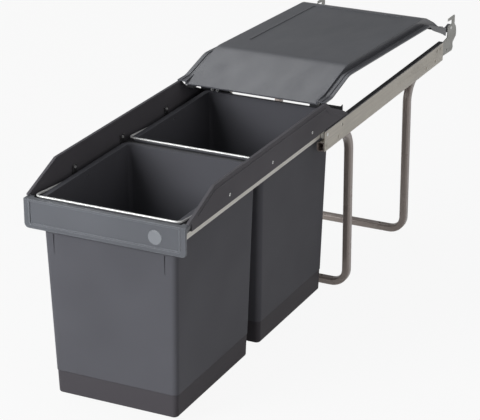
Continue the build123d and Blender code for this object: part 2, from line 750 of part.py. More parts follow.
def front_panel():
    """A moulded panel with a bead around its field, a shelf at the top and four screw bosses."""
    front = carriage_front
    back = front + RETURN_DEPTH
    pan = panel_shell(front + PANEL_BEAD_PROUD, back)
    field = half - PANEL_BORDER
    field_low = panel_low + PANEL_LOW_BORDER
    bead = rectangle_points(field + PANEL_BEAD_WIDTH, field_low - PANEL_BEAD_WIDTH, panel_top)
    corners = [PANEL_BEAD_CORNER, PANEL_BEAD_CORNER, PANEL_BEAD_EDGE, PANEL_BEAD_EDGE]
    frame = front_plate(bead, front, front + PANEL_WALL, corners)
    pan += chamfer(frame.edges().group_by(Axis.Y)[0], PANEL_BEAD_EDGE)
    pan -= block((-shelf_end_half, shelf_end_half), (front + SHELF_DEPTH, back + OVERRUN),
                 (panel_low - OVERRUN, panel_top + OVERRUN))
    pan -= both(panel_end_cut())
    pan -= block((-field, field), (front - OVERRUN, panel_face_y), (field_low, panel_top - PANEL_TOP_BORDER))
    pan -= block((-inner_boss, inner_boss), (front + SHELF_DEPTH - SLOT_DEPTH, back),
                 (panel_top - 2 * PANEL_WALL, panel_top + OVERRUN))
    for x in panel_screw_places:
        pan += bolt(x, panel_screw_z, front + PANEL_WALL, front_bar_y, BOSS_RADIUS)
    for x in panel_screw_places:
        pan -= bolt(x, panel_screw_z, front_bar_y - BOSS_BORE_DEPTH, front_bar_y, SHANK_RADIUS + SHANK_FIT)
    badge_seat = panel_face_y + BADGE_THICK / 2
    pan -= bolt(badge_x, badge_z, front - OVERRUN, badge_seat, BADGE_RADIUS + BADGE_FIT)
    return one(pan)


def badge_insert():
    """A blank round insert in the field of the front panel."""
    start = panel_face_y + BADGE_THICK / 2
    disc = bolt(badge_x, badge_z, start - BADGE_THICK, start, BADGE_RADIUS)
    return one(chamfer(disc.edges().filter_by(GeomType.CIRCLE).group_by(Axis.Y)[0], BADGE_EDGE))


def panel_screw(x):
    """A screw through the front cross bar into a boss of the front panel."""
    head = front_bar_y + SHEET
    screw = bolt(x, panel_screw_z, head, head + SCREW_HEAD, SCREW_HEAD_RADIUS)
    screw += bolt(x, panel_screw_z, front_bar_y - BOSS_BORE_DEPTH + SHANK_FIT, head, SHANK_RADIUS)
    return screw


# Side panels

def side_outline():
    """The right side panel's outline, from its nose over the top to its tail."""
    nose_low = panel_top + SIDE_PANEL_GAP
    step = carriage_front + SIDE_STEP_LEAD
    height = side_top - side_low
    line = [(step, side_low), (step, nose_low), (side_front, nose_low), (side_front, nose_low + SIDE_NOSE),
            (side_front + SIDE_SLOPE, side_top), (side_flat_end, side_top)]
    line += [(side_flat_end + SIDE_TAIL * y, side_top - height * z) for y, z in TAIL_SHARES]
    line.append((side_rear, side_low))
    return line


def side_panel():
    """The right side panel, a moulded plate with a thicker top edge and a bead on its outside."""
    outline = side_outline()
    radii = [0.0, 0.0, 0.0, 0.0, SIDE_CORNER, SIDE_CORNER, SIDE_CORNER, SIDE_CORNER, SIDE_CORNER, 0.0]
    plate = profile_plate(outline, side_in, half, radii)
    top_line = outline[3:8]
    lip = ribbon(top_line, -SIDE_LIP_HEIGHT)
    lip_plate = profile_plate(lip, side_in - SIDE_LIP, half)
    trim = profile_plate(outline, side_in - SIDE_LIP - OVERRUN, half + OVERRUN, radii)
    plate += lip_plate & trim
    bead_line = offset_line(top_line, -BEAD_INSET)
    (low_y, low_z), (slope_y, slope_z) = bead_line[:2]
    start = (low_y + (slope_y - low_y) * BEAD_START_SHARE, low_z + (slope_z - low_z) * BEAD_START_SHARE)
    bead = ribbon([start] + bead_line[1:], BEAD_WIDTH)
    plate += profile_plate(bead, half, half + BEAD_PROUD)
    for y in side_screw_places:
        plate -= rod(tab_in, half + OVERRUN, y, side_screw_z, SHANK_RADIUS + SHANK_FIT)
        plate -= rod(half - POCKET_DEPTH, half + OVERRUN, y, side_screw_z, POCKET_RADIUS)
    return one(plate)


def side_screw(y):
    """A screw in a pocket of the right side panel, through the moving rail's tab."""
    seat = half - POCKET_DEPTH
    screw = rod(seat, seat + POCKET_HEAD, y, side_screw_z, POCKET_HEAD_RADIUS)
    screw += rod(tab_in - SHEET, seat, y, side_screw_z, SHANK_RADIUS)
    return screw


# Rear panel

rear_panel_y = rear_bar_y + SHEET
rear_screw_inner = rear_screw_x - REAR_SCREW_PITCH
rear_screw_places = [-rear_screw_x, -rear_screw_inner, rear_screw_inner, rear_screw_x]
rear_screw_z = seat_top + EAR_RISE / 2
rear_panel_top = seat_top + EAR_RISE


def rear_panel():
    """A plate behind the rear cross bar, higher at its ends, with a peg on each end."""
    low = rear_panel_top - REAR_PLATE_HEIGHT
    inner = moving_in - REAR_SIDE_GAP
    wing_low = moving_top + REAR_SIDE_GAP
    right = [(inner, low), (inner, wing_low), (rear_half, wing_low),
             (rear_half, rear_panel_top + PEG_RISE), (rear_half - PEG_WIDTH, rear_panel_top),
             (ear_inner, rear_panel_top), (rear_half - REAR_WING, panel_top - REAR_CENTRE_DROP)]
    outline = right + [(-x, z) for x, z in right[::-1]]
    plate = front_plate(outline, rear_panel_y, rear_panel_y + REAR_SHEET)
    for x in rear_screw_places:
        plate -= bolt(x, rear_screw_z, rear_bar_y, rear_panel_y + OVERRUN, SHANK_RADIUS + SHANK_FIT)
    return one(plate)


def rear_screw(x):
    """A screw through an ear of the rear cross bar and the rear panel."""
    screw = bolt(x, rear_screw_z, rear_bar_y - SCREW_HEAD, rear_bar_y, REAR_SCREW_HEAD_RADIUS)
    screw += bolt(x, rear_screw_z, rear_bar_y, rear_panel_y + REAR_SHEET + SHEET / 2, SHANK_RADIUS)
    return screw


# Bins and bails

def bin_half_sizes(z, inset):
    """Half width and half length of a bin at a height, drawn in by an inset."""
    share = (rim_top - z) / bin_height
    return (bin_half_width - BIN_TAPER_X * share - inset,
            bin_half_length - BIN_TAPER_Y * share - inset)


def tapered(centre_y, z_low, z_high, inset, corner):
    """A tapered block with round upright corners."""
    faces = []
    for z in (z_low, z_high):
        half_x, half_y = bin_half_sizes(z, inset)
        faces.append(Pos(0, centre_y, z) * RectangleRounded(2 * half_x, 2 * half_y, corner))
    return loft(faces)


def bin_body(centre_y):
    """A tapered bin with a stepped foot band, a flat rim and a boss for the bail on each side."""
    low = BIN_FLOOR_CLEARANCE
    band_top = low + BAND_HEIGHT
    foot = tapered(centre_y, low, band_top, BAND_STEP, BIN_CORNER - BAND_STEP)
    foot = fillet(foot.edges().group_by(Axis.Z)[0], BIN_BASE_EDGE)
    body = foot + tapered(centre_y, band_top, rim_low, 0, BIN_CORNER)
    rim = RectangleRounded(2 * rim_half, 2 * (bin_half_length + RIM_END), BIN_CORNER + RIM_END)
    body += extrude(Pos(0, centre_y, rim_low) * rim, RIM_THICK)
    pivot_half = bin_half_sizes(pivot_z, 0)[0]
    boss_end = pivot_half + BOSS_OUT
    body += rod(-boss_end, boss_end, centre_y, pivot_z, BAIL_BOSS_RADIUS)
    hollow = tapered(centre_y, low + BIN_WALL, band_top, BAND_STEP + BIN_WALL, BIN_CORNER - BIN_WALL)
    hollow += tapered(centre_y, band_top, rim_top + BIN_WALL, BAND_STEP + BIN_WALL, BIN_CORNER - BIN_WALL)
    body -= hollow
    body -= rod(-half, half, centre_y, pivot_z, BAIL_WIRE + PIN_FIT)
    grip_top = rim_top - GRIP_DROP
    for side in (-1, 1):
        x = side * (bin_half_width - GRIP_INSET)
        grip_face = bin_half_sizes(grip_top - GRIP_HEIGHT / 2, 0)[1]
        y = centre_y - grip_face
        grip = block((x - GRIP_WIDTH / 2, x + GRIP_WIDTH / 2), (y - GRIP_DEPTH * 2, y + GRIP_DEPTH),
                     (grip_top - GRIP_HEIGHT, grip_top))
        body -= grip
    return one(body)


def bail(centre_y, rise):
    """A wire bail that lies forward over the rim, hinged in the bin's bosses."""
    arm_x = rim_half + BAIL_SIDE_GAP + BAIL_WIRE
    end_x = bin_half_sizes(pivot_z, 0)[0] - BIN_WALL + BAIL_END_GAP
    reach = math.sqrt(bail_length ** 2 - rise ** 2)
    far = (centre_y - reach, pivot_z + rise)
    points = [(-end_x, centre_y, pivot_z), (-arm_x, centre_y, pivot_z), (-arm_x, *far),
              (arm_x, *far), (arm_x, centre_y, pivot_z), (end_x, centre_y, pivot_z)]
    path = FilletPolyline(*points, radius=[BAIL_END_BEND, BAIL_CORNER, BAIL_CORNER, BAIL_END_BEND])
    start = Plane(origin=path @ 0, z_dir=path % 0)
    return one(sweep(start * Circle(BAIL_WIRE), path=path))


# Lid

lid_top = [
    (lid_front, side_top - LID_FRONT_DROP), (crest_front, side_top + CREST_FRONT_RISE),
    (crest_rear, side_top + CREST_REAR_RISE), (shoulder, side_top - SHOULDER_DROP),
    (lid_rear, side_top - TAIL_DROP),
]
lid_front_slope = (CREST_FRONT_RISE + LID_FRONT_DROP) / LID_SLOPE
lid_front_thick = LID_THICK * math.hypot(1.0, lid_front_slope)
ledge_rest = side_top + LID_REST_GAP
ledge_flat_end = side_flat_end + travel
ledge_low_line = [
    (lid_front, ledge_rest), (lid_front + LEDGE_FLAT, ledge_rest),
    (lid_front + LEDGE_KNEE, side_top + LEDGE_KNEE_RISE), (ledge_flat_end, ledge_rest),
    (shoulder, side_top - LEDGE_SHOULDER_DROP), (lid_rear - LEDGE_TAIL_LEAD, side_top - LEDGE_TAIL_DROP),
    (lid_rear, side_top - LEDGE_END_DROP),
]


def lid_slope_z(y):
    """The height of the lid's top on its front slope."""
    return side_top - LID_FRONT_DROP + lid_front_slope * (y - lid_front)


def lid_step():
    """The wall between the lid's field and its right ledge."""
    inner = lid_field_half - LID_THICK
    flat_end = lid_front + LEDGE_FLAT
    outline = [(flat_end, lid_slope_z(flat_end))] + lid_top[1:] + ledge_low_line[:0:-1]
    bends = [0.0] + LID_BENDS + [0.0, 0.0] + LEDGE_BENDS[:0:-1] + [0.0]
    wall = profile_plate(outline, inner, lid_field_half, bends)
    front = [(lid_front, lid_slope_z(lid_front) - lid_front_thick),
             (flat_end, lid_slope_z(flat_end) - lid_front_thick),
             (flat_end, lid_slope_z(flat_end)), (lid_front, ledge_rest + LEDGE_THICK)]
    return wall + profile_plate(front, inner, lid_field_half)


def lid_ledge():
    """The right border of the lid: a low ledge with a ridge, and the step up to the field."""
    inner = lid_field_half - LID_THICK
    border = ribbon_plate(ledge_low_line, LEDGE_BENDS, LEDGE_THICK, inner, lid_half_width)
    ledge_top = offset_line(ledge_low_line, LEDGE_THICK)[:-1]
    top_bends = far_radii(ledge_low_line, LEDGE_BENDS, LEDGE_THICK)[:-1]
    border += ribbon_plate(ledge_top, top_bends, RIDGE_HEIGHT, ridge_x - RIDGE_WIDTH / 2,
                           ridge_x + RIDGE_WIDTH / 2)
    return border + lid_step()


def lid_lip():
    """The right lip that follows the tail of the side panel when the carriage is in."""
    height = side_top - side_low
    end_y = hinge_y - LIP_END
    tail = [(ledge_flat_end + SIDE_TAIL * y, side_top - height * z) for y, z in [(0, 0)] + TAIL_SHARES]
    slope = offset_line(tail, LIP_CLEARANCE)
    (y_a, z_a), (y_b, z_b) = slope[2], slope[3]
    end_z = z_a + (z_b - z_a) * (end_y - y_a) / (y_b - y_a)
    lower = slope[:3] + [(end_y, end_z)]
    ledge_end = LEDGE_THICK / 2
    upper = [(ledge_flat_end, ledge_rest + ledge_end), (shoulder, side_top - LEDGE_SHOULDER_DROP + ledge_end),
             (end_y, side_top - LEDGE_TAIL_DROP + ledge_end)]
    outline = lower + upper[::-1]
    return profile_plate(outline, lid_half_width - LIP_THICK, lid_half_width)


def lid_lug():
    """The right hinge lug under the lid's rear end."""
    eye = Pos(hinge_y, hinge_z) * Circle(LUG_RADIUS)
    root = Pos(hinge_y - LUG_ROOT_LEAD, hinge_z - LUG_ROOT_DROP) * Circle(LUG_ROOT_RADIUS)
    shape = make_hull((eye + root).edges())
    lug = extrude(Plane.YZ.offset(lug_in) * shape, LUG_THICK)
    lug -= rod(lug_in - OVERRUN, half, hinge_y, hinge_z, PIN_RADIUS + PIN_FIT)
    return lug


def lid_rib():
    """A low rib on the lid's top, along its left side and its rear."""
    fall = math.atan2(CREST_FRONT_RISE - CREST_REAR_RISE, lid_crest)
    length = lid_crest - RIB_LEAD - RIB_TAIL
    middle = crest_front + RIB_LEAD + length / 2
    share = (middle - crest_front) / lid_crest
    z = side_top + CREST_FRONT_RISE + (CREST_REAR_RISE - CREST_FRONT_RISE) * share
    line = RectangleRounded(2 * rib_half, length, RIB_CORNER)
    line -= RectangleRounded(2 * (rib_half - RIB_WIDTH), length - 2 * RIB_WIDTH, RIB_CORNER - RIB_WIDTH)
    line -= Pos(RIB_CORNER, -RIB_CORNER) * Rectangle(2 * rib_half, length)
    line -= Pos(0, -length + RIB_CORNER) * Rectangle(2 * rib_half, length)
    line -= Pos(2 * rib_half - RIB_CORNER, 0) * Rectangle(2 * rib_half, length)
    rib = extrude(line, LID_THICK / 2 + RIB_HEIGHT)
    rib = Pos(0, 0, -LID_THICK / 2) * rib
    return Pos(0, middle, z) * Rot(-math.degrees(fall), 0, 0) * rib


def lid_cover():
    """The lid: a bent field with a rib, and a border with ledge, lip and hinge lug on each side."""
    cover = ribbon_plate(lid_top, LID_BENDS, -LID_THICK, -lid_field_half, lid_field_half)
    cover += lid_rib()
    border = lid_ledge()
    tail_start = hinge_y - LIP_END
    border -= block((lug_out, half + OVERRUN), (tail_start, hinge_y + OVERRUN),
                    (panel_low, side_top + SIDE_RISE))
    border += lid_lip()
    border += lid_lug()
    cover += border
    cover += left_of(border)
    return one(cover)


def lid_guide():
    """A slide block under the lid's front corner, just inside the side panel."""
    y = (lid_front + GUIDE_SETBACK, lid_front + GUIDE_SETBACK + GUIDE_LENGTH)
    top = [lid_slope_z(v) - lid_front_thick for v in y]
    low = side_top - GUIDE_DROP
    outline = [(y[0], low), (y[1], low), (y[1], top[1]), (y[0], top[0])]
    outer = lid_field_half - LID_THICK
    return one(profile_plate(outline, outer - GUIDE_WIDTH, outer))


def lid_buffer():
    """A rubber strip under the ledge, at the lid's rear bend."""
    y = (ledge_flat_end + LID_BUFFER_LEAD, ledge_flat_end + LID_BUFFER_LEAD + LID_BUFFER_LENGTH)
    slope = (LID_REST_GAP + LEDGE_SHOULDER_DROP) / (shoulder - ledge_flat_end)
    top = [ledge_rest - slope * (v - ledge_flat_end) for v in y]
    outline = [(y[0], top[0] - LID_BUFFER_HEIGHT), (y[1], top[1] - LID_BUFFER_HEIGHT),
               (y[1], top[1]), (y[0], top[0])]
    outer = lid_half_width - LID_BUFFER_INSET
    return one(profile_plate(outline, outer - LID_BUFFER_WIDTH, outer))


def build_parts():
    """Every node by its name, with mirrored pieces on the left."""
    rail = fixed_rail()
    bracket = lid_bracket()
    front_wheel = roller(front_roller_y, front_roller_z, FRONT_ROLLER_RADIUS,
                         front_roller_in, front_roller_out, -1)
    rear_wheel = roller(rear_roller_y, rear_roller_z, REAR_ROLLER_RADIUS,
                        rear_roller_in, rear_roller_out, 1)
    side = side_panel()
    track = moving_rail()
    front_pin = front_roller_pin()
    rear_pin = rear_roller_pin()
    return {
        "front_leg": leg(front_leg_y, rail_front),
        "rear_leg": leg(rear_leg_y, rear_run_end),
        "left_fixed_rail": left_of(rail),
        "right_fixed_rail": rail,
        "leg_rivets": group([both(leg_rivet(y)) for y in leg_rivet_places]),
        "left_front_roller_pin": left_of(front_pin),
        "right_front_roller_pin": front_pin,
        "front_stops": both(front_stop()),
        "rear_buffers": both(rear_buffer()),
        "left_lid_bracket": left_of(bracket),
        "right_lid_bracket": bracket,
        "bracket_rivets": group([both(bracket_rivet(y)) for y in bracket_rivet_places]),
        "lid_hinge_pins": both(lid_hinge_pin()),
        "left_front_roller": left_of(front_wheel),
        "right_front_roller": front_wheel,
        "left_rear_roller": left_of(rear_wheel),
        "right_rear_roller": rear_wheel,
        "left_moving_rail": left_of(track),
        "right_moving_rail": track,
        "left_rear_roller_pin": left_of(rear_pin),
        "right_rear_roller_pin": rear_pin,
        "front_cross_bar": front_cross_bar(),
        "middle_cross_bar": middle_cross_bar(),
        "rear_cross_bar": rear_cross_bar(),
        "cross_bar_rivets": group([both(bar_rivet(y)) for y in bar_rivet_places]),
        "front_panel": front_panel(),
        "badge_insert": badge_insert(),
        "front_panel_screws": group([panel_screw(x) for x in panel_screw_places]),
        "left_side_panel": left_of(side),
        "right_side_panel": side,
        "side_panel_screws": group([both(side_screw(y)) for y in side_screw_places]),
        "rear_panel": rear_panel(),
        "rear_panel_screws": group([rear_screw(x) for x in rear_screw_places]),
        "front_bin": bin_body(front_bin_y),
        "rear_bin": bin_body(rear_bin_y),
        "front_bail": bail(front_bin_y, FRONT_BAIL_RISE),
        "rear_bail": bail(rear_bin_y, REAR_BAIL_RISE),
        "lid_cover": lid_cover(),
        "lid_guides": both(lid_guide()),
        "lid_buffers": both(lid_buffer()),
    }


os.makedirs("parts", exist_ok=True)
for name, shape in build_parts().items():
    export_step(shape, os.path.join("parts", name + ".step"))
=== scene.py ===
import bmesh
import bpy
import math
from mathutils import Matrix, Vector


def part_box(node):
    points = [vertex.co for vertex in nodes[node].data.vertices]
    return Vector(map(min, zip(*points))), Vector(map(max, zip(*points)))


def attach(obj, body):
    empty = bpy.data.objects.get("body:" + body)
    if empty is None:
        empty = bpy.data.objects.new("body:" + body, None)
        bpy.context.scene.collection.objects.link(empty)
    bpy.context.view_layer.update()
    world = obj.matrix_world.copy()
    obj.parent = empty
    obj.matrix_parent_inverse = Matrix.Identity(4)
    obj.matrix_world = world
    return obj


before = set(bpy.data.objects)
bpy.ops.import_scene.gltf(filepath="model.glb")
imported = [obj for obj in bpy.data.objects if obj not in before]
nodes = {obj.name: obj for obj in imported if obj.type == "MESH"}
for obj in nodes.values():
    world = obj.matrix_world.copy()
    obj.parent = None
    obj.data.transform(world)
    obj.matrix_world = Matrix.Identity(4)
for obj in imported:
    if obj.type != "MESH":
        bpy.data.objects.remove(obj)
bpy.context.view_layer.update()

MM = 0.001

# The photograph's camera: frame and optical axis in pixels, angles in degrees, place in metres
IMAGE_WIDTH = 480
IMAGE_HEIGHT = 420
FOCAL_PX = 2004.28
AXIS_U = 273.92
AXIS_V = 204.56
AZIMUTH = 25.19
ELEVATION = 22.08
ROLL = 0.22
CAMERA_PLACE = (1.2760, -2.8608, 1.3474)
SENSOR_MM = 36.0
CLIP_START = 0.05
CLIP_END = 100.0


def make_camera():
    """The camera that took the photograph, from its angles and place."""
    data = bpy.data.cameras.new("view_camera")
    camera = bpy.data.objects.new("view_camera", data)
    bpy.context.scene.collection.objects.link(camera)
    azimuth, elevation, roll = map(math.radians, (AZIMUTH, ELEVATION, ROLL))
    back = Vector((math.sin(azimuth) * math.cos(elevation),
                   -math.cos(azimuth) * math.cos(elevation), math.sin(elevation)))
    right = (-back).cross(Vector((0, 0, 1))).normalized()
    up = right.cross(-back).normalized()
    rolled_right = right * math.cos(roll) + up * math.sin(roll)
    rolled_up = up * math.cos(roll) - right * math.sin(roll)
    turn = Matrix((rolled_right, rolled_up, back)).transposed().to_4x4()
    camera.matrix_world = Matrix.Translation(CAMERA_PLACE) @ turn
    data.sensor_width = SENSOR_MM
    data.lens = FOCAL_PX / IMAGE_WIDTH * SENSOR_MM
    data.shift_x = (IMAGE_WIDTH / 2 - AXIS_U) / IMAGE_WIDTH
    data.shift_y = (AXIS_V - IMAGE_HEIGHT / 2) / IMAGE_WIDTH
    data.clip_start = CLIP_START
    data.clip_end = CLIP_END
    bpy.context.scene.camera = camera


# The curve of a colour's values as pictures store them
SRGB_MAX = 255
SRGB_KNEE = 0.04045
SRGB_SLOPE = 12.92
SRGB_OFFSET = 0.055
SRGB_POWER = 2.4


def linear(colour):
    """A colour written as 0 to 255, as the shader wants it."""
    out = []
    for value in colour:
        share = value / SRGB_MAX
        if share <= SRGB_KNEE:
            out.append(share / SRGB_SLOPE)
        else:
            out.append(((share + SRGB_OFFSET) / (1 + SRGB_OFFSET)) ** SRGB_POWER)
    return (*out, 1.0)


def tinted(colour, factor):
    """A colour made lighter or darker by a factor, as the shader wants it."""
    return linear([min(SRGB_MAX, value * factor) for value in colour])


def maths(tree, operation, first, second):
    """An output joined with another output, or with a number."""
    made = tree.nodes.new("ShaderNodeMath")
    made.operation = operation
    tree.links.new(first, made.inputs[0])
    if hasattr(second, "is_output"):
        tree.links.new(second, made.inputs[1])
    else:
        made.inputs[1].default_value = second
    return made.outputs[0]


# Noise between these values is spread over its whole range
NOISE_LOW = 0.3
NOISE_HIGH = 0.7

# A Mix node's colour sockets, which share their names with its other sockets
MIX_FIRST = 6
MIX_SECOND = 7
MIX_RESULT = 2

# How the rounded normal agrees with the flat one on an edge and away from it
EDGE_AGREEMENT = 0.86
FLAT_AGREEMENT = 0.99
ROUND_SAMPLES = 4


class Shader:
    """A node material with a Principled surface and a few helpers."""

    def __init__(self, name):
        self.material = bpy.data.materials.new(name)
        self.material.use_nodes = True
        self.tree = self.material.node_tree
        self.surface = self.tree.nodes["Principled BSDF"]
        self.place = self.node("ShaderNodeTexCoord").outputs["Object"]

    def node(self, kind, **values):
        """A new node with some of its properties set."""
        made = self.tree.nodes.new(kind)
        for key, value in values.items():
            setattr(made, key, value)
        return made

    def link(self, source, target):
        """Joins an output to an input."""
        self.tree.links.new(source, target)

    def noise(self, scale, detail, stretch=(1, 1, 1)):
        """Soft noise, drawn out along an axis where its stretch is small."""
        mapping = self.node("ShaderNodeMapping")
        mapping.inputs["Scale"].default_value = stretch
        self.link(self.place, mapping.inputs["Vector"])
        made = self.node("ShaderNodeTexNoise")
        made.inputs["Scale"].default_value = scale
        made.inputs["Detail"].default_value = detail
        self.link(mapping.outputs["Vector"], made.inputs["Vector"])
        return made.outputs["Fac"]

    def ranged(self, value, low, high, start=NOISE_LOW, end=NOISE_HIGH):
        """A value between start and end, brought between low and high."""
        made = self.node("ShaderNodeMapRange")
        limits = {"From Min": start, "From Max": end, "To Min": low, "To Max": high}
        for name, number in limits.items():
            made.inputs[name].default_value = number
        self.link(value, made.inputs["Value"])
        return made.outputs["Result"]

    def mix(self, factor, first, second):
        """Two colours or colour outputs, mixed by a factor."""
        made = self.node("ShaderNodeMix", data_type="RGBA")
        self.link(factor, made.inputs["Factor"])
        for index, colour in ((MIX_FIRST, first), (MIX_SECOND, second)):
            if hasattr(colour, "is_output"):
                self.link(colour, made.inputs[index])
            else:
                made.inputs[index].default_value = colour
        return made.outputs[MIX_RESULT]

    def rounded(self, radius):
        """The surface's normal with its edges rounded."""
        made = self.node("ShaderNodeBevel", samples=ROUND_SAMPLES)
        made.inputs["Radius"].default_value = radius
        return made.outputs["Normal"]

    def edges(self, radius):
        """1 near an edge and 0 on flat or gently curved surfaces."""
        geometry = self.node("ShaderNodeNewGeometry")
        turn = self.node("ShaderNodeVectorMath", operation="DOT_PRODUCT")
        self.link(self.rounded(radius), turn.inputs[0])
        self.link(geometry.outputs["Normal"], turn.inputs[1])
        return self.ranged(turn.outputs["Value"], 1.0, 0.0, EDGE_AGREEMENT, FLAT_AGREEMENT)

    def height(self, start, end):
        """0 up to the height called start and 1 past the one called end, which may be the lower."""
        split = self.node("ShaderNodeSeparateXYZ")
        self.link(self.place, split.inputs["Vector"])
        return self.ranged(split.outputs["Z"], 0.0, 1.0, start, end)

    def colour(self, base, pale, wear_and_highlight, width):
        """The surface's colour, which turns pale along the edges by the given share: edge wear on most
        pieces, and a painted highlight on the front panel.
        """
        wear_and_highlight_share = maths(self.tree, "MULTIPLY", self.edges(width), wear_and_highlight)
        self.link(self.mix(wear_and_highlight_share, base, pale), self.surface.inputs["Base Color"])

    def roughness(self, value):
        """The surface's roughness, which varies."""
        self.link(value, self.surface.inputs["Roughness"])

    def bump(self, height, strength, distance, radius):
        """A fine grain over rounded edges."""
        made = self.node("ShaderNodeBump")
        self.link(self.rounded(radius), made.inputs["Normal"])
        made.inputs["Strength"].default_value = strength
        made.inputs["Distance"].default_value = distance
        self.link(height, made.inputs["Height"])
        self.link(made.outputs["Normal"], self.surface.inputs["Normal"])


# Moulded plastic: clouds, scuffs and grain, each with the scale of its noise
CLOUD_SCALE = 6.0
CLOUD_DETAIL = 2.0
CLOUD_TINT = 1.09
SCUFF_SCALE = 38.0
SCUFF_DETAIL = 6.0
SCUFF_STRETCH = (1, 0.35, 1)
SCUFF_SMOOTHER = 0.02
SCUFF_ROUGHER = 0.04
GRAIN_SCALE = 900.0
GRAIN_DETAIL = 2.0
GRAIN_STRENGTH = 0.08
GRAIN_DEPTH = 0.08 * MM
PLASTIC_ROUND = 1.2 * MM
FINE_ROUND = 0.35 * MM
PLASTIC_WEAR = 0.35
WEAR_WIDTH = 0.6 * MM
PLASTIC_GLOSS = 0.5
BAND_BLEND = 1.0 * MM


def plastic(name, colour, pale, rough, grain=GRAIN_SCALE, wear_and_highlight=PLASTIC_WEAR, low_tint=None,
            round_by=PLASTIC_ROUND, gloss=PLASTIC_GLOSS, wear_and_highlight_width=WEAR_WIDTH):
    """Moulded plastic. low_tint is a colour and the height below which the plastic has it."""
    shader = Shader(name)
    cloud = shader.ranged(shader.noise(CLOUD_SCALE, CLOUD_DETAIL), 0.0, 1.0)
    base = shader.mix(cloud, linear(colour), tinted(colour, CLOUD_TINT))
    if low_tint:
        tint, top = low_tint
        base = shader.mix(shader.height(top + BAND_BLEND, top), base, linear(tint))
    shader.colour(base, linear(pale), wear_and_highlight, wear_and_highlight_width)
    scuffs = shader.noise(SCUFF_SCALE, SCUFF_DETAIL, SCUFF_STRETCH)
    shader.roughness(shader.ranged(scuffs, rough - SCUFF_SMOOTHER, rough + SCUFF_ROUGHER))
    shader.bump(shader.noise(grain, GRAIN_DETAIL), GRAIN_STRENGTH, GRAIN_DEPTH, round_by)
    shader.surface.inputs["Specular IOR Level"].default_value = gloss
    return shader.material


# Sheet, tube and wire: rolling marks, darker blotches and varied polish
MARK_SCALE = 420.0
MARK_DETAIL = 4.0
MARK_TINT = 1.07
MARK_STRENGTH = 0.12
MARK_DEPTH = 0.05 * MM
BLOTCH_SCALE = 17.0
BLOTCH_DETAIL = 4.0
BLOTCH_TINT = 0.86
BLOTCH_SHARE = 0.35
BLOTCH_START = 0.45
BLOTCH_FULL = 0.75
POLISH_SCALE = 55.0
POLISH_DETAIL = 5.0
POLISH_SMOOTHER = 0.06
POLISH_ROUGHER = 0.08
METAL_ROUND = 0.4 * MM
METAL_WEAR = 0.4
METAL_EDGE_TINT = 1.35
FLANGE_BLEND = 0.4 * MM


def metal(name, colour, metallic, rough, stretch=(1, 1, 1), high_tint=None):
    """Painted or plated metal. high_tint is a colour and the height above which the metal has it."""
    shader = Shader(name)
    marks = shader.noise(MARK_SCALE, MARK_DETAIL, stretch)
    base = shader.mix(shader.ranged(marks, 0.0, 1.0), linear(colour), tinted(colour, MARK_TINT))
    blotch = shader.ranged(shader.noise(BLOTCH_SCALE, BLOTCH_DETAIL), 0.0, BLOTCH_SHARE,
                           BLOTCH_START, BLOTCH_FULL)
    base = shader.mix(blotch, base, tinted(colour, BLOTCH_TINT))
    if high_tint:
        tint, low = high_tint
        base = shader.mix(shader.height(low, low + FLANGE_BLEND), base, linear(tint))
    shader.colour(base, tinted(colour, METAL_EDGE_TINT), METAL_WEAR, WEAR_WIDTH)
    polish = shader.noise(POLISH_SCALE, POLISH_DETAIL, stretch)
    shader.roughness(shader.ranged(polish, rough - POLISH_SMOOTHER, rough + POLISH_ROUGHER))
    shader.surface.inputs["Metallic"].default_value = metallic
    shader.bump(marks, MARK_STRENGTH, MARK_DEPTH, METAL_ROUND)
    return shader.material


def dress(material, *names):
    """Gives CAD nodes their material."""
    for name in names:
        mesh = nodes[name].data
        mesh.materials.clear()
        mesh.materials.append(material)


def both(name):
    """The names of a piece's left and right copy."""
    return ["left_" + name, "right_" + name]


# Colours of the plastic pieces, and the paler ones of their edges: worn edges, and on the front panel
# a painted highlight
FRONT_GREY = (104, 106, 111)
# The front panel's pale edge colour is a painted highlight, the bright line along its bead and rims
FRONT_HIGHLIGHT = (178, 181, 186)
FRONT_HIGHLIGHT_WIDTH = 0.9 * MM
BADGE_GREY = (140, 143, 148)
BADGE_PALE = (175, 177, 180)
BADGE_GRAIN = 500.0
BIN_GREY = (97, 97, 102)
BIN_PALE = (140, 142, 146)
BIN_BAND = (89, 86, 90)
BAND_HEIGHT = 36.0 * MM
SIDE_GREY = (103, 101, 105)
LID_GREY = (92, 93, 98)
GREY_PALE = (150, 152, 156)
BLACK = (28, 28, 30)
BLACK_PALE = (60, 60, 62)
NYLON = (232, 231, 226)
NYLON_PALE = (235, 235, 230)
RUBBER = (24, 24, 25)
RUBBER_PALE = (50, 50, 50)
RUBBER_GRAIN = 2200.0

# The gloss of the bins and the side panels, which hardly mirror the floor
MATT_GLOSS = 0.02


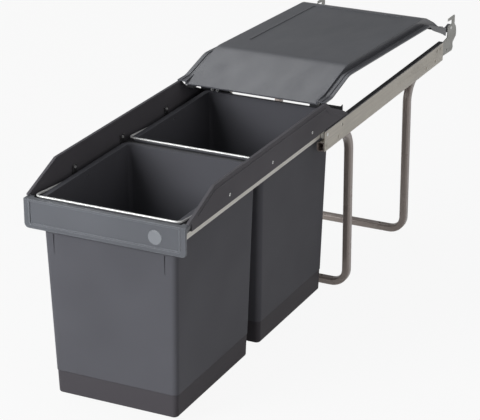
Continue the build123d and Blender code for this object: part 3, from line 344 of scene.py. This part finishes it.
def dress_plastics():
    """The panels, bins, lid, rollers, pads and buffers."""
    band_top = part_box("front_bin")[0][2] + BAND_HEIGHT
    # The front panel's pale edges are a painted highlight along its bead and rims, not wear
    dress(plastic("front_panel_plastic", FRONT_GREY, FRONT_HIGHLIGHT, rough=0.40, wear_and_highlight=0.9,
                  round_by=FINE_ROUND, gloss=0.2, wear_and_highlight_width=FRONT_HIGHLIGHT_WIDTH), "front_panel")
    dress(plastic("bin_plastic", BIN_GREY, BIN_PALE, rough=0.38, low_tint=(BIN_BAND, band_top),
                  gloss=MATT_GLOSS), "front_bin", "rear_bin")
    dress(plastic("side_panel_plastic", SIDE_GREY, GREY_PALE, rough=0.46, wear_and_highlight=0.6,
                  round_by=FINE_ROUND, gloss=MATT_GLOSS), *both("side_panel"))
    dress(plastic("lid_plastic", LID_GREY, GREY_PALE, rough=0.36, gloss=0.4), "lid_cover")
    dress(plastic("rear_panel_plastic", BLACK, BLACK_PALE, rough=0.5),
          "rear_panel", "rear_cross_bar", "lid_guides")
    dress(plastic("badge_plastic", BADGE_GREY, BADGE_PALE, rough=0.25, grain=BADGE_GRAIN),
          "badge_insert")
    dress(plastic("nylon", NYLON, NYLON_PALE, rough=0.35),
          *both("front_roller"), *both("rear_roller"), "front_stops")
    dress(plastic("rubber", RUBBER, RUBBER_PALE, rough=0.7, grain=RUBBER_GRAIN),
          "rear_buffers", "lid_buffers")


# Colours of the metal pieces. The fixed rails' upper flanges are dark paint; the moving rails take the
# same dark above a height, partly as paint and partly as painted shade over their tabs in the shaded
# gap by the bins' rims
RAIL_BEIGE = (208, 201, 187)
MOVING_GREY = (226, 222, 214)
FLANGE_DARK_AND_SHADE = (70, 69, 71)
RAIL_FLANGE = 1.6 * MM
MOVING_DARK_AND_SHADE_RISE = 0.8 * MM
LEG_BROWN = (166, 154, 147)
BAR_GREY = (58, 58, 60)
BRACKET_GREY = (176, 176, 170)
ZINC = (232, 232, 230)
WIRE_WHITE = (236, 236, 233)

# Rolling marks run along the rails and across the carriage
ALONG_RAILS = (1, 0.03, 1)
ALONG_BARS = (0.03, 1, 1)


def dress_metals():
    """The rails, legs, bars, brackets, pins, rivets, screws and bails."""
    rail_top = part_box("right_fixed_rail")[1][2]
    rail_dark = (FLANGE_DARK_AND_SHADE, rail_top - RAIL_FLANGE)
    # Above this height the moving rails are dark: partly dark paint, partly painted shade over the
    # tabs in the shaded gap by the bins' rims
    moving_dark_and_shade = (FLANGE_DARK_AND_SHADE, rail_top + MOVING_DARK_AND_SHADE_RISE)
    dress(metal("fixed_rail_steel", RAIL_BEIGE, metallic=0.05, rough=0.38, stretch=ALONG_RAILS,
                high_tint=rail_dark), *both("fixed_rail"), "leg_rivets", "bracket_rivets")
    dress(metal("moving_rail_steel", MOVING_GREY, metallic=0.1, rough=0.36, stretch=ALONG_RAILS,
                high_tint=moving_dark_and_shade), *both("moving_rail"))
    dress(metal("cross_bar_steel", BAR_GREY, metallic=0.2, rough=0.45, stretch=ALONG_BARS),
          "front_cross_bar", "middle_cross_bar")
    dress(metal("leg_steel", LEG_BROWN, metallic=0.1, rough=0.3), "front_leg", "rear_leg")
    dress(metal("bracket_steel", BRACKET_GREY, metallic=0.1, rough=0.45), *both("lid_bracket"))
    dress(metal("zinc_steel", ZINC, metallic=0.35, rough=0.30),
          *both("front_roller_pin"), *both("rear_roller_pin"), "lid_hinge_pins", "cross_bar_rivets",
          "front_panel_screws", "side_panel_screws", "rear_panel_screws")
    dress(metal("bright_wire", WIRE_WHITE, metallic=0.25, rough=0.2), "front_bail", "rear_bail")


WHITE = (1, 1, 1, 1)


def seen_directly(tree):
    """1 for rays from the camera or off a glossy or clear surface, and 0 for diffuse light."""
    path = tree.nodes.new("ShaderNodeLightPath")
    total = path.outputs["Is Camera Ray"]
    for kind in ("Is Glossy Ray", "Is Transmission Ray"):
        total = maths(tree, "MAXIMUM", total, path.outputs[kind])
    return total


def mixed(tree, out, share, first, second):
    """Two shaders, mixed by a share of the second, as the tree's surface."""
    mix = tree.nodes.new("ShaderNodeMixShader")
    tree.links.new(share, mix.inputs[0])
    tree.links.new(first.outputs[0], mix.inputs[1])
    tree.links.new(second.outputs[0], mix.inputs[2])
    tree.links.new(mix.outputs[0], out.inputs["Surface"])


# The floor: half its width, how far it lies below the legs, its colour, and how much it shows as white
FLOOR_REACH = 40.0
FLOOR_DROP = 0.5 * MM
FLOOR_COLOUR = (0.60, 0.60, 0.60, 1)
FLOOR_WHITE_SHARE = 0.92


def make_floor():
    """A pale floor that stays near white in the picture and keeps a soft shadow."""
    mesh = bpy.data.meshes.new("floor")
    corners = [(x * FLOOR_REACH, y * FLOOR_REACH, 0) for x, y in ((-1, -1), (1, -1), (1, 1), (-1, 1))]
    mesh.from_pydata(corners, [], [(0, 1, 2, 3)])
    floor = bpy.data.objects.new("floor", mesh)
    floor.location.z = -FLOOR_DROP
    bpy.context.scene.collection.objects.link(floor)
    material = bpy.data.materials.new("floor_white")
    material.use_nodes = True
    tree = material.node_tree
    tree.nodes.clear()
    out = tree.nodes.new("ShaderNodeOutputMaterial")
    matt = tree.nodes.new("ShaderNodeBsdfDiffuse")
    matt.inputs["Color"].default_value = FLOOR_COLOUR
    glow = tree.nodes.new("ShaderNodeEmission")
    glow.inputs["Color"].default_value = WHITE
    share = maths(tree, "MULTIPLY", seen_directly(tree), FLOOR_WHITE_SHARE)
    mixed(tree, out, share, matt, glow)
    mesh.materials.append(material)


# The world's soft light, and the white backdrop, which fades between these degrees above the horizon
SOFT_COLOUR = (0.96, 0.98, 1.0, 1)
SOFT_STRENGTH = 0.20
BACKDROP_TOP = 2.0
BACKDROP_FADED = 7.0


def make_world():
    """Soft light from all around, and a white backdrop, also in reflections."""
    world = bpy.data.worlds.new("studio")
    bpy.context.scene.world = world
    world.use_nodes = True
    tree = world.node_tree
    tree.nodes.clear()
    out = tree.nodes.new("ShaderNodeOutputWorld")
    soft = tree.nodes.new("ShaderNodeBackground")
    soft.inputs["Color"].default_value = SOFT_COLOUR
    soft.inputs["Strength"].default_value = SOFT_STRENGTH
    white = tree.nodes.new("ShaderNodeBackground")
    white.inputs["Color"].default_value = WHITE
    direction = tree.nodes.new("ShaderNodeTexCoord")
    split = tree.nodes.new("ShaderNodeSeparateXYZ")
    tree.links.new(direction.outputs["Generated"], split.inputs["Vector"])
    low = tree.nodes.new("ShaderNodeMapRange")
    low.inputs["From Min"].default_value = math.sin(math.radians(BACKDROP_FADED))
    low.inputs["From Max"].default_value = math.sin(math.radians(BACKDROP_TOP))
    tree.links.new(split.outputs["Z"], low.inputs["Value"])
    share = maths(tree, "MULTIPLY", seen_directly(tree), low.outputs["Result"])
    mixed(tree, out, share, soft, white)


# Each lamp's place and size in metres, its power in watts and its colour
COOL = (0.97, 0.985, 1.0)
NEUTRAL = (1, 1, 1)
WARM = (1.0, 0.955, 0.94)
LAMP_TARGET = (0.0, -0.2, 0.2)
LAMPS = {
    "key": ((-1.2, -2.9, 1.35), (1.4, 1.0), 62.0, COOL),
    "top": ((0.2, 0.6, 2.6), (2.2, 2.2), 1.5, NEUTRAL),
    "sheen": ((-1.25, 1.5, 2.4), (1.0, 1.0), 11.0, COOL),
    "fill": ((2.6, -1.0, 1.0), (1.6, 1.6), 8.0, WARM),
}


def make_lights():
    """A key from the front left, a weak top light, a sheen on the lid's slope and a warm fill."""
    for name, (place, size, power, colour) in LAMPS.items():
        data = bpy.data.lights.new(name, "AREA")
        data.shape = "RECTANGLE"
        data.size, data.size_y = size
        data.energy = power
        data.color = colour
        lamp = bpy.data.objects.new(name, data)
        bpy.context.scene.collection.objects.link(lamp)
        lamp.location = place
        aim = Vector(LAMP_TARGET) - Vector(place)
        lamp.rotation_euler = aim.to_track_quat("-Z", "Y").to_euler()


# The crosses in the screw heads, dark as painted shade of their recesses: half their length, half
# their width, how far they stand out of the head, and how deep they go in
CROSS_ARM = 1.25 * MM
CROSS_HALF = 0.32 * MM
CROSS_PROUD = 0.03 * MM
CROSS_DEPTH = 0.2 * MM
RECESS_SHADE = (16, 16, 17)
RECESS_SHADE_PALE = (40, 40, 41)

# The screws: how many each side panel has, and how far apart the two at each end of the rear panel are
SIDE_SCREWS = 3
REAR_PITCH = 9.0 * MM

ALONG_X = Vector((1, 0, 0))
ALONG_Y = Vector((0, 1, 0))
ALONG_Z = Vector((0, 0, 1))


def recess_cross(name, centre, across, inwards, material):
    """The cross in a screw head, a little proud of its face and sunk in behind it, dark as painted
    shade of the recess.
    """
    shape = bmesh.new()
    quarter = ((CROSS_ARM, -CROSS_HALF), (CROSS_ARM, CROSS_HALF), (CROSS_HALF, CROSS_HALF))
    corners = []
    for turn in range(4):
        spin = Matrix.Rotation(turn * math.pi / 2, 2)
        corners += [spin @ Vector(corner) for corner in quarter]
    front = shape.faces.new([shape.verts.new(across * u + ALONG_Z * v) for u, v in corners])
    sunk = bmesh.ops.extrude_face_region(shape, geom=[front])["geom"]
    back = [item for item in sunk if isinstance(item, bmesh.types.BMVert)]
    bmesh.ops.translate(shape, verts=back, vec=inwards * CROSS_DEPTH)
    bmesh.ops.recalc_face_normals(shape, faces=shape.faces)
    mesh = bpy.data.meshes.new(name)
    shape.to_mesh(mesh)
    shape.free()
    mesh.materials.append(material)
    cross = bpy.data.objects.new(name, mesh)
    cross.location = centre
    bpy.context.scene.collection.objects.link(cross)
    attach(cross, "carriage")


def side_recesses(material):
    """The crosses of the side panels' screws, which face outwards."""
    low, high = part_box("side_panel_screws")
    radius = (high[2] - low[2]) / 2
    first = low[1] + radius
    last = high[1] - radius
    faces = (("left", low[0] - CROSS_PROUD, ALONG_X), ("right", high[0] + CROSS_PROUD, -ALONG_X))
    for side, face, inwards in faces:
        for k in range(SIDE_SCREWS):
            y = first + (last - first) * k / (SIDE_SCREWS - 1)
            recess_cross("%s_side_recess_%d" % (side, k + 1), (face, y, low[2] + radius), ALONG_Y,
                         inwards, material)


def rear_recesses(material):
    """The crosses of the rear panel's screws, which face forwards."""
    low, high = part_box("rear_panel_screws")
    radius = (high[2] - low[2]) / 2
    first = low[0] + radius
    last = high[0] - radius
    for k, x in enumerate((first, first + REAR_PITCH, last - REAR_PITCH, last)):
        recess_cross("rear_recess_%d" % (k + 1), (x, low[1] - CROSS_PROUD, low[2] + radius), ALONG_X,
                     ALONG_Y, material)


make_camera()
make_world()
make_floor()
make_lights()
dress_plastics()
dress_metals()
# The screw heads' dark crosses are painted shade, standing for the shade in each recess
recess_painted_shade = plastic("recess_painted_shade", RECESS_SHADE, RECESS_SHADE_PALE, rough=0.6)
side_recesses(recess_painted_shade)
rear_recesses(recess_painted_shade)

bpy.context.scene.view_settings.view_transform = "Standard"
